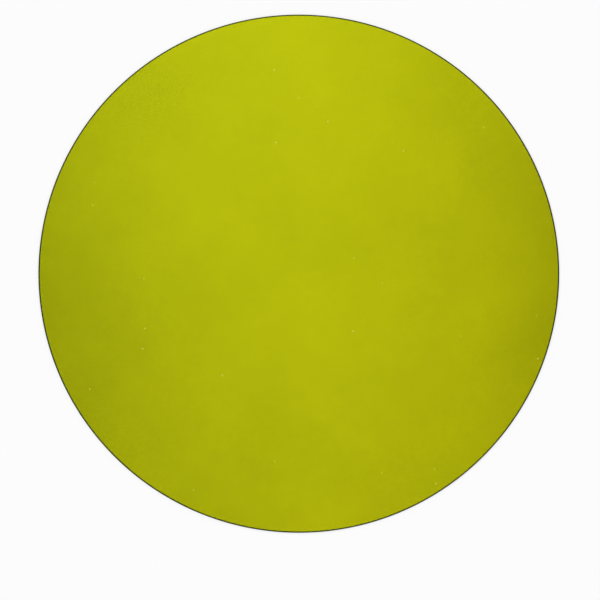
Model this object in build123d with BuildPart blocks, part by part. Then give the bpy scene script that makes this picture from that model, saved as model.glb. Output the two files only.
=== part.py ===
from build123d import *
from math import cos, radians, sin, tan
import os

# A round silicon carbide wafer, lying on its back face with the origin at that face's centre.
# Its rim is ground to the usual wafer edge: a shallow bevel off each face, and a round nose
# tangent to both bevels.

# Driving dimensions, in millimetres and degrees
wafer_diameter = 200.0
wafer_thickness = 0.5
bevel_angle = 18.0  # how far each bevel falls away from its face
nose_radius = 0.12  # the round nose between the bevels

# Where the edge's lines and arc meet, worked out from the sizes above
mid_height = wafer_thickness / 2
nose_half_height = nose_radius * cos(radians(bevel_angle))
nose_start = wafer_diameter / 2 - nose_radius * (1 - sin(radians(bevel_angle)))
bevel_width = (mid_height - nose_half_height) / tan(radians(bevel_angle))
face_radius = nose_start - bevel_width

with BuildPart() as wafer:
    with BuildSketch(Plane.XZ):
        with BuildLine():
            back_face = Line((0, 0), (face_radius, 0))
            back_bevel = Line(back_face @ 1, (nose_start, mid_height - nose_half_height))
            nose = TangentArc(
                back_bevel @ 1,
                (nose_start, mid_height + nose_half_height),
                tangent=back_bevel % 1,
            )
            front_bevel = Line(nose @ 1, (face_radius, wafer_thickness))
            front_face = Line(front_bevel @ 1, (0, wafer_thickness))
            Line(front_face @ 1, back_face @ 0)
        make_face()
    revolve(axis=Axis.Z)
wafer.part.label = "wafer"

print(f"flat face radius {face_radius:.3f} mm, edge {wafer_diameter / 2 - face_radius:.3f} mm wide")
print(f"volume {wafer.part.volume:.2f} mm3")

os.makedirs("parts", exist_ok=True)
export_step(wafer.part, "parts/wafer.step")
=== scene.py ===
"""A round silicon carbide wafer, lying flat on a white studio floor.

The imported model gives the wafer's diameter and thickness. The visible wafer is spun finely from the same
edge section, so that its ground rim is smooth and its polished faces are truly flat.
"""

import math

import bmesh
import bpy
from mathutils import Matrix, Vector


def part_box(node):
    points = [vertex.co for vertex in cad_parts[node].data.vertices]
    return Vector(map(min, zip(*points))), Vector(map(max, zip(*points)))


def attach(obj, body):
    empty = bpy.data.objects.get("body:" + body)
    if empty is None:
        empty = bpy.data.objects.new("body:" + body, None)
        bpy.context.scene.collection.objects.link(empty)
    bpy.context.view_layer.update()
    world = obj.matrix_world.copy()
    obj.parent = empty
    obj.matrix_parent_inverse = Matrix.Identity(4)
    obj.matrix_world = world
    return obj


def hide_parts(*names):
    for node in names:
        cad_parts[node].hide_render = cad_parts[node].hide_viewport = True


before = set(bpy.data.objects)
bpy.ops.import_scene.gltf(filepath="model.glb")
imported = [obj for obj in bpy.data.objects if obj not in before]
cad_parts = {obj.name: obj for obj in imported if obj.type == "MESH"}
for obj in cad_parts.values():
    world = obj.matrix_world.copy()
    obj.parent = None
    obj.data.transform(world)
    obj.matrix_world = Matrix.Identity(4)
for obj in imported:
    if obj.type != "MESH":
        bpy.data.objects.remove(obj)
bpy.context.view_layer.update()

low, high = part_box("wafer")
WAFER_RADIUS = high.x
WAFER_THICKNESS = high.z - low.z

# The ground edge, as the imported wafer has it
BEVEL_ANGLE = math.radians(18)
NOSE_RADIUS = 0.12e-3
NOSE_STEPS = 16
RIM_STEPS = 720

# The crystal's optics and its tints, where it is palest and deepest, and where it is greenest and brownest.
# How far it goes towards the pale or the deep tint is partly the crystal's own clouds and partly painted
# light and shade.
CRYSTAL_IOR = 2.65
PALE_TINT = (0.859, 0.900, 0.0055)
DEEP_TINT = (0.513, 0.546, 0.0025)
COOL_CAST = (0.985, 1.015, 1.25)
WARM_CAST = (1.015, 0.985, 0.75)

# The crystal's shade, from 0, deep, to 1, pale, with places as shares of the radius. Its fall towards the
# sides is painted shade, and its rise towards the top and its pale, slightly tilted band up the middle are
# painted light; its clouds are the crystal's own.
CENTRE_SHADE = 0.70
PAINTED_SHADE_AT_SIDES = 0.66
PAINTED_LIGHT_AT_TOP = 0.25
PAINTED_BAND_TILT = 0.08
WARMTH_TO_RIGHT = 0.5
WARMTH_TO_BOTTOM = 0.25
CLOUD_DEPTH = 0.6
FACE_CLOUD_SIZE = 50e-3
RIM_CLOUD_SIZE = 10e-3

# The ground rim scatters light, so it mirrors far less than the polished faces. Its near-black tints are
# painted shade for the dark line along the bevel, lighter towards the top as painted light, and its gloss is
# tinted down to keep that line dark.
RIM_IOR = 1.5
RIM_ROUGHEST = 0.5
RIM_SMOOTHEST = 0.3
RIM_GLOSS = (0.35, 0.45, 0.15)
RIM_PAINTED_SHADE_LIGHTEST = (0.045, 0.065, 0.008)
RIM_PAINTED_SHADE_DARKEST = (0.006, 0.014, 0.006)

# Dust on the faces
DUST_SPACING = 10e-3
DUST_RADIUS = 0.31e-3
DUST_SHARE = 0.22
DUST_SMALLEST = 0.4
DUST_FAINTEST = 0.4
DUST_SHARPNESS = 2.5
DUST_ROUGHNESS = 0.5
DUST_TINT = (0.86, 0.88, 0.20)

# Studio
FLOOR_HALF_SIZE = 40
FLOOR_GAP = 0.05e-3
FLOOR_WHITE = 0.95
SHOWN_WHITE_SHARE = 0.5
THROUGH_GLASS_WHITE_SHARE = 0.9
BACKDROP_WHITE = SHOWN_WHITE_SHARE + (1 - SHOWN_WHITE_SHARE) * FLOOR_WHITE

# The sky in the wafer's mirror: its strength low down and overhead, and the heights of direction between
MIRRORED_HORIZON = 0.65
MIRRORED_OVERHEAD = 0.008
HORIZON_TOP = 0.02
OVERHEAD_START = 0.62

# Strip lights seen only in the wafer's mirror: how far to the side of overhead each is, and half its width.
# Both are shares of the height, which is kept off 0 for directions along the floor.
STRIP_LIGHTS = ((-1.47, 0.035), (2.66, 0.07))
STRIP_SOFTNESS = 0.07
STRIP_LENGTH = 5.0
STRIP_WHITE = 0.75
LEAST_HEIGHT = 1e-3

# Camera
LENS = 110
CAMERA_ELEVATION = math.radians(85)
CAMERA_DISTANCE = 0.7028
CAMERA_AIM = Vector((0.00045, -0.0114, WAFER_THICKNESS))


# ---------------------------------------------------------------- node helpers


def new_material(name):
    """A material with an empty tree and its output node."""
    material = bpy.data.materials.new(name)
    material.use_nodes = True
    material.node_tree.nodes.clear()
    return material, material.node_tree, material.node_tree.nodes.new("ShaderNodeOutputMaterial")


def maths(tree, operation, a, b=None, clamp=False):
    """A Math node on sockets or plain numbers."""
    node = tree.nodes.new("ShaderNodeMath")
    node.operation = operation
    node.use_clamp = clamp
    for socket, value in zip(node.inputs, (a, b)):
        if isinstance(value, bpy.types.NodeSocket):
            tree.links.new(value, socket)
        elif value is not None:
            socket.default_value = value
    return node.outputs[0]


def mixed_colour(tree, factor, a, b, blend="MIX"):
    """A colour Mix node on sockets or plain values."""
    node = tree.nodes.new("ShaderNodeMix")
    node.data_type = "RGBA"
    node.blend_type = blend
    for name, value in (("Factor_Float", factor), ("A_Color", a), ("B_Color", b)):
        socket = next(s for s in node.inputs if s.identifier == name)
        if isinstance(value, bpy.types.NodeSocket):
            tree.links.new(value, socket)
        elif isinstance(value, tuple):
            socket.default_value = (*value, 1)
        else:
            socket.default_value = value
    return next(s for s in node.outputs if s.identifier == "Result_Color")


# ---------------------------------------------------------------- the wafer


def wafer_mesh():
    """The wafer's edge section, spun a full turn about its axis."""
    middle = WAFER_THICKNESS / 2
    nose_half_height = NOSE_RADIUS * math.cos(BEVEL_ANGLE)
    nose_start = WAFER_RADIUS - NOSE_RADIUS * (1 - math.sin(BEVEL_ANGLE))
    face_radius = nose_start - (middle - nose_half_height) / math.tan(BEVEL_ANGLE)

    bm = bmesh.new()
    nose = bm.verts.new((nose_start, 0, middle - nose_half_height))
    spun = bmesh.ops.spin(
        bm,
        geom=[nose],
        cent=(WAFER_RADIUS - NOSE_RADIUS, 0, middle),
        axis=(0, -1, 0),
        angle=math.pi - 2 * BEVEL_ANGLE,
        steps=NOSE_STEPS,
    )
    nose_end = next(v for v in spun["geom_last"] if isinstance(v, bmesh.types.BMVert))
    for corner, height in ((nose, 0.0), (nose_end, WAFER_THICKNESS)):
        face_edge = bm.verts.new((face_radius, 0, height))
        face_centre = bm.verts.new((0, 0, height))
        bm.edges.new((corner, face_edge))
        bm.edges.new((face_edge, face_centre))

    bmesh.ops.spin(
        bm,
        geom=bm.verts[:] + bm.edges[:],
        cent=(0, 0, 0),
        axis=(0, 0, 1),
        angle=math.tau,
        steps=RIM_STEPS,
        use_merge=True,
    )
    bmesh.ops.remove_doubles(bm, verts=bm.verts[:], dist=1e-7)
    bmesh.ops.recalc_face_normals(bm, faces=bm.faces[:])
    for face in bm.faces:
        on_rim = face.calc_center_median().to_2d().length > face_radius
        face.material_index = 1 if on_rim else 0
        face.smooth = on_rim
    mesh = bpy.data.meshes.new("polished_wafer")
    bm.to_mesh(mesh)
    bm.free()
    return mesh


def tone_and_painted_light_group():
    """How pale the crystal looks at each place, and how brown, both from 0 to 1.

    It is palest in a broad band up its middle and towards the top, and darker to the sides, all of which is
    painted light and shade; it is brownest to the lower right, with soft clouds, the crystal's own, in both.
    """
    group = bpy.data.node_groups.new("tone_and_painted_light", "ShaderNodeTree")
    for name in ("Cloud Size", "Cloud Depth"):
        group.interface.new_socket(name, in_out="INPUT", socket_type="NodeSocketFloat")
    for name in ("Shade", "Warmth"):
        group.interface.new_socket(name, in_out="OUTPUT", socket_type="NodeSocketFloat")
    group_in = group.nodes.new("NodeGroupInput")
    group_out = group.nodes.new("NodeGroupOutput")

    place = group.nodes.new("ShaderNodeTexCoord").outputs["Object"]
    across = group.nodes.new("ShaderNodeSeparateXYZ")
    group.links.new(place, across.inputs[0])
    x_share = maths(group, "DIVIDE", across.outputs["X"], WAFER_RADIUS)
    y_share = maths(group, "DIVIDE", across.outputs["Y"], WAFER_RADIUS)
    # Painted light and shade: darker towards the sides of a slightly tilted band up the middle, and lighter
    # towards the top
    from_band = maths(group, "ADD", x_share, maths(group, "MULTIPLY", y_share, PAINTED_BAND_TILT))
    band = maths(group, "MULTIPLY", maths(group, "MULTIPLY", from_band, from_band), -PAINTED_SHADE_AT_SIDES)
    rise = maths(group, "MULTIPLY", y_share, PAINTED_LIGHT_AT_TOP)

    clouds = group.nodes.new("ShaderNodeTexNoise")
    clouds.inputs["Detail"].default_value = 6.0
    clouds.inputs["Roughness"].default_value = 0.6
    group.links.new(place, clouds.inputs["Vector"])
    group.links.new(maths(group, "DIVIDE", 1.0, group_in.outputs["Cloud Size"]), clouds.inputs["Scale"])
    cloud = maths(group, "SUBTRACT", clouds.outputs["Fac"], 0.5)
    cloud = maths(group, "MULTIPLY", cloud, group_in.outputs["Cloud Depth"])

    clouded_centre = maths(group, "ADD", cloud, CENTRE_SHADE)
    shade = maths(group, "ADD", maths(group, "ADD", band, rise), clouded_centre, clamp=True)
    group.links.new(shade, group_out.inputs["Shade"])

    rightward = maths(group, "MULTIPLY", x_share, WARMTH_TO_RIGHT)
    upward = maths(group, "MULTIPLY", y_share, WARMTH_TO_BOTTOM)
    lean = maths(group, "SUBTRACT", rightward, upward)
    warmth = maths(group, "ADD", maths(group, "ADD", lean, cloud), 0.5, clamp=True)
    group.links.new(warmth, group_out.inputs["Warmth"])
    return group


def tone_and_painted_light(tree, group, cloud_size):
    """The shade group, with its painted light and shade, placed in a material, with clouds of its own size.
    """
    shade = tree.nodes.new("ShaderNodeGroup")
    shade.node_tree = group
    shade.inputs["Cloud Size"].default_value = cloud_size
    shade.inputs["Cloud Depth"].default_value = CLOUD_DEPTH
    return shade


def tint_with_painted_light(tree, shade, deep, pale):
    """The crystal's colour, from deep to pale by its shade, which holds painted light and shade as well as
    clouds, and a little greener or browner by its warmth.
    """
    tint = mixed_colour(tree, shade.outputs["Shade"], deep, pale)
    cast = mixed_colour(tree, shade.outputs["Warmth"], COOL_CAST, WARM_CAST)
    return mixed_colour(tree, 1.0, tint, cast, "MULTIPLY")


def dust_mask(tree):
    """Up to 1 on small round specks scattered over the faces, some fainter than others, and 0 elsewhere."""
    cells = tree.nodes.new("ShaderNodeTexVoronoi")
    cells.voronoi_dimensions = "2D"
    cells.inputs["Scale"].default_value = 1 / DUST_SPACING
    place = tree.nodes.new("ShaderNodeTexCoord").outputs["Object"]
    tree.links.new(place, cells.inputs["Vector"])
    chance = tree.nodes.new("ShaderNodeSeparateColor")
    tree.links.new(cells.outputs["Color"], chance.inputs[0])

    size = maths(tree, "MULTIPLY", chance.outputs[1], 1 - DUST_SMALLEST)
    size = maths(tree, "ADD", size, DUST_SMALLEST)
    size = maths(tree, "MULTIPLY", size, DUST_RADIUS / DUST_SPACING)
    inside = maths(tree, "SUBTRACT", 1.0, maths(tree, "DIVIDE", cells.outputs["Distance"], size), clamp=True)
    spot = maths(tree, "MULTIPLY", inside, DUST_SHARPNESS, clamp=True)
    strength = maths(tree, "MULTIPLY", chance.outputs[2], 1 - DUST_FAINTEST)
    strength = maths(tree, "ADD", strength, DUST_FAINTEST)
    kept = maths(tree, "LESS_THAN", chance.outputs[0], DUST_SHARE)
    return maths(tree, "MULTIPLY", maths(tree, "MULTIPLY", spot, strength), kept)


def glass_shader(tree, output, ior):
    """A clear Principled shader of one index, wired to the output."""
    shader = tree.nodes.new("ShaderNodeBsdfPrincipled")
    shader.inputs["IOR"].default_value = ior
    shader.inputs["Transmission Weight"].default_value = 1.0
    tree.links.new(shader.outputs["BSDF"], output.inputs["Surface"])
    return shader


def polished_crystal(shade_group):
    """Both faces: clear yellow-green crystal, its tint carrying painted shade towards the sides and painted
    light up the middle and towards the top.
    """
    material, tree, output = new_material("polished_crystal")
    shader = glass_shader(tree, output, CRYSTAL_IOR)
    shade = tone_and_painted_light(tree, shade_group, FACE_CLOUD_SIZE)
    tint = tint_with_painted_light(tree, shade, DEEP_TINT, PALE_TINT)
    dust = dust_mask(tree)
    tree.links.new(mixed_colour(tree, dust, tint, DUST_TINT), shader.inputs["Base Color"])
    tree.links.new(maths(tree, "MULTIPLY", dust, DUST_ROUGHNESS), shader.inputs["Roughness"])
    return material


def ground_rim(shade_group):
    """The ground edge: the same crystal, frosted, its dark line painted shade that is lighter towards the top
    as painted light, and a little rougher where it is darker.
    """
    material, tree, output = new_material("ground_rim")
    shader = glass_shader(tree, output, RIM_IOR)
    shader.inputs["Specular Tint"].default_value = (*RIM_GLOSS, 1)
    shade = tone_and_painted_light(tree, shade_group, RIM_CLOUD_SIZE)
    # Painted shade: a near-black tint for the bevel's dark line, lighter towards the top
    tint = tint_with_painted_light(tree, shade, RIM_PAINTED_SHADE_DARKEST, RIM_PAINTED_SHADE_LIGHTEST)
    tree.links.new(tint, shader.inputs["Base Color"])
    smoother = maths(tree, "MULTIPLY", shade.outputs["Shade"], RIM_ROUGHEST - RIM_SMOOTHEST)
    tree.links.new(maths(tree, "SUBTRACT", RIM_ROUGHEST, smoother), shader.inputs["Roughness"])
    return material


def build_wafer():
    wafer = bpy.data.objects.new("polished_wafer", wafer_mesh())
    bpy.context.scene.collection.objects.link(wafer)
    shade_group = tone_and_painted_light_group()
    wafer.data.materials.append(polished_crystal(shade_group))
    wafer.data.materials.append(ground_rim(shade_group))
    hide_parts("wafer")
    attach(wafer, "root")
    return wafer


# ---------------------------------------------------------------- the studio


def white_share(tree):
    """The share of the floor that shows as plain white: more through glass or in a mirror than directly."""
    path = tree.nodes.new("ShaderNodeLightPath")
    indirect = maths(tree, "MAXIMUM", path.outputs["Is Transmission Ray"], path.outputs["Is Glossy Ray"])
    indirect = maths(tree, "MULTIPLY", indirect, THROUGH_GLASS_WHITE_SHARE)
    direct = maths(tree, "MULTIPLY", path.outputs["Is Camera Ray"], SHOWN_WHITE_SHARE)
    return maths(tree, "MAXIMUM", direct, indirect)


def studio_floor():
    """A wide white floor just under the wafer, which keeps the wafer's shadow."""
    bm = bmesh.new()
    bmesh.ops.create_grid(bm, x_segments=1, y_segments=1, size=FLOOR_HALF_SIZE)
    bmesh.ops.translate(bm, vec=(0, 0, low.z - FLOOR_GAP), verts=bm.verts[:])
    mesh = bpy.data.meshes.new("floor")
    bm.to_mesh(mesh)
    bm.free()
    floor = bpy.data.objects.new("floor", mesh)
    bpy.context.scene.collection.objects.link(floor)

    material, tree, output = new_material("white_floor")
    paint = tree.nodes.new("ShaderNodeBsdfDiffuse")
    paint.inputs["Color"].default_value = (FLOOR_WHITE, FLOOR_WHITE, FLOOR_WHITE, 1)
    white = tree.nodes.new("ShaderNodeEmission")
    mix = tree.nodes.new("ShaderNodeMixShader")
    tree.links.new(white_share(tree), mix.inputs["Fac"])
    tree.links.new(paint.outputs[0], mix.inputs[1])
    tree.links.new(white.outputs[0], mix.inputs[2])
    tree.links.new(mix.outputs[0], output.inputs["Surface"])
    floor.data.materials.append(material)


def strip_lights(tree, split):
    """1 on each long strip light overhead and 0 off it, by the direction looked in."""
    height = maths(tree, "MAXIMUM", split.outputs["Z"], LEAST_HEIGHT)
    across = maths(tree, "DIVIDE", split.outputs["X"], height)
    along = maths(tree, "ABSOLUTE", maths(tree, "DIVIDE", split.outputs["Y"], height))
    lit = 0.0
    for centre, half_width in STRIP_LIGHTS:
        side = tree.nodes.new("ShaderNodeMapRange")
        side.interpolation_type = "SMOOTHSTEP"
        side.inputs["From Min"].default_value = half_width
        side.inputs["From Max"].default_value = half_width + STRIP_SOFTNESS
        side.inputs["To Min"].default_value = 1
        side.inputs["To Max"].default_value = 0
        away = maths(tree, "ABSOLUTE", maths(tree, "SUBTRACT", across, centre))
        tree.links.new(away, side.inputs["Value"])
        lit = maths(tree, "MAXIMUM", side.outputs[0], lit)
    return maths(tree, "MULTIPLY", lit, maths(tree, "LESS_THAN", along, STRIP_LENGTH))


def studio_world():
    """White all round, but in the wafer's mirror dark overhead, with a few strip lights to the sides."""
    world = bpy.data.worlds.new("studio")
    bpy.context.scene.world = world
    world.use_nodes = True
    tree = world.node_tree
    tree.nodes.clear()
    output = tree.nodes.new("ShaderNodeOutputWorld")
    path = tree.nodes.new("ShaderNodeLightPath")

    direction = tree.nodes.new("ShaderNodeTexCoord").outputs["Generated"]
    split = tree.nodes.new("ShaderNodeSeparateXYZ")
    tree.links.new(direction, split.inputs[0])
    overhead = tree.nodes.new("ShaderNodeMapRange")
    overhead.interpolation_type = "SMOOTHSTEP"
    overhead.inputs["From Min"].default_value = HORIZON_TOP
    overhead.inputs["From Max"].default_value = OVERHEAD_START
    overhead.inputs["To Min"].default_value = MIRRORED_HORIZON
    overhead.inputs["To Max"].default_value = MIRRORED_OVERHEAD
    tree.links.new(split.outputs["Z"], overhead.inputs["Value"])

    mirrored = tree.nodes.new("ShaderNodeBackground")
    mirrored.inputs["Color"].default_value = (1, 1, 1, 1)
    strips = maths(tree, "MULTIPLY", strip_lights(tree, split), STRIP_WHITE)
    tree.links.new(maths(tree, "MAXIMUM", strips, overhead.outputs[0]), mirrored.inputs["Strength"])
    white = tree.nodes.new("ShaderNodeBackground")
    white.inputs["Color"].default_value = (1, 1, 1, 1)
    shown = maths(tree, "MULTIPLY", path.outputs["Is Camera Ray"], BACKDROP_WHITE - 1)
    tree.links.new(maths(tree, "ADD", shown, 1.0), white.inputs["Strength"])
    mix = tree.nodes.new("ShaderNodeMixShader")
    tree.links.new(path.outputs["Is Glossy Ray"], mix.inputs["Fac"])
    tree.links.new(white.outputs[0], mix.inputs[1])
    tree.links.new(mirrored.outputs[0], mix.inputs[2])
    tree.links.new(mix.outputs[0], output.inputs["Surface"])


def camera_above():
    """A long lens nearly straight above the wafer, a little to its front."""
    data = bpy.data.cameras.new("camera")
    data.lens = LENS
    camera = bpy.data.objects.new("camera", data)
    bpy.context.scene.collection.objects.link(camera)
    bpy.context.scene.camera = camera

    back = Vector((0, -math.cos(CAMERA_ELEVATION), math.sin(CAMERA_ELEVATION)))
    camera.location = CAMERA_AIM + back * CAMERA_DISTANCE
    camera.rotation_mode = "QUATERNION"
    camera.rotation_quaternion = (-back).to_track_quat("-Z", "Y")
    data.clip_start = 0.01
    data.clip_end = 50


bpy.context.scene.view_settings.view_transform = "Standard"
build_wafer()
studio_floor()
studio_world()
camera_above()
